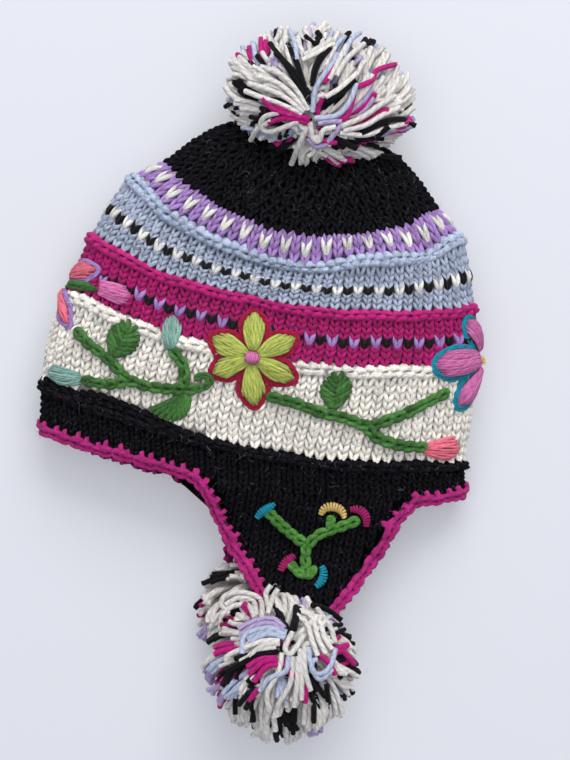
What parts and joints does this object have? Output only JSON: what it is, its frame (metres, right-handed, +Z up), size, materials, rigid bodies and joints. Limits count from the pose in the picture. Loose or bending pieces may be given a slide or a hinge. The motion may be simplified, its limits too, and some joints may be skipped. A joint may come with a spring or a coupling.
{
  "type": "chullo hat",
  "caption": "Hand-knitted wool chullo hat with ear flaps, striped bands, embroidered flowers, a crochet edge and pompoms, lying flat.",
  "frame": {"origin": "on the table under the middle of the hem band, the hat lying flat on its right side", "axes": "+Y from the hem toward the crown and the top pompom, +Z up from the table, +X across the hat to the back of the head"},
  "size_m": [0.2571, 0.4135, 0.0811],
  "materials": {
    "black_knit": "soft wool knit, charcoal black",
    "cream_knit": "soft wool knit, undyed cream",
    "magenta_knit": "soft wool knit, magenta",
    "blue_knit": "soft wool knit, light blue",
    "lavender_knit": "soft wool knit, lavender",
    "crochet_wool": "crocheted wool edge, magenta",
    "pompom_yarn": "cut wool strands, mostly cream",
    "thread_lime": "wool thread, lime",
    "thread_red": "wool thread, red",
    "thread_green": "wool thread, leaf green",
    "thread_coral": "wool thread, coral",
    "thread_pink": "wool thread, pink",
    "thread_mint": "wool thread, mint",
    "thread_orchid": "wool thread, orchid",
    "thread_teal": "wool thread, teal",
    "thread_gold": "wool thread, gold",
    "thread_magenta": "wool thread, magenta"
  },
  "bodies": {
    "root": {"hem_band": "black_knit", "cream_band": "cream_knit", "magenta_band": "magenta_knit", "blue_band": "blue_knit", "lavender_band": "lavender_knit", "crown": "black_knit", "ear_flap_left": "black_knit", "ear_flap_right": "black_knit", "crochet_edge": "crochet_wool", "pompom_top": "pompom_yarn", "pompom_left": "pompom_yarn", "pompom_right": "pompom_yarn", "lime_flower": "thread_lime", "lime_flower_edge": "thread_red", "lime_flower_knot": "thread_pink", "leaf_left": "thread_green", "leaf_low": "thread_green", "leaf_right": "thread_green", "mint_bud_side": "thread_mint", "mint_bud_top": "thread_mint", "coral_petal_upper": "thread_coral", "coral_petal_lower": "thread_coral", "coral_leaf": "thread_green", "pink_bud": "thread_pink", "orchid_petal_upper": "thread_orchid", "orchid_petal_middle": "thread_orchid", "orchid_petal_lower": "thread_orchid", "orchid_knot": "thread_gold", "coral_bud": "thread_coral", "vine_left": "thread_green", "vine_right": "thread_green", "vine_flap": "thread_green", "teal_knot_upper": "thread_teal", "gold_knot": "thread_gold", "magenta_knot_upper": "thread_magenta", "magenta_knot_lower": "thread_magenta", "teal_knot_lower": "thread_teal"}
  },
  "joints": []
}
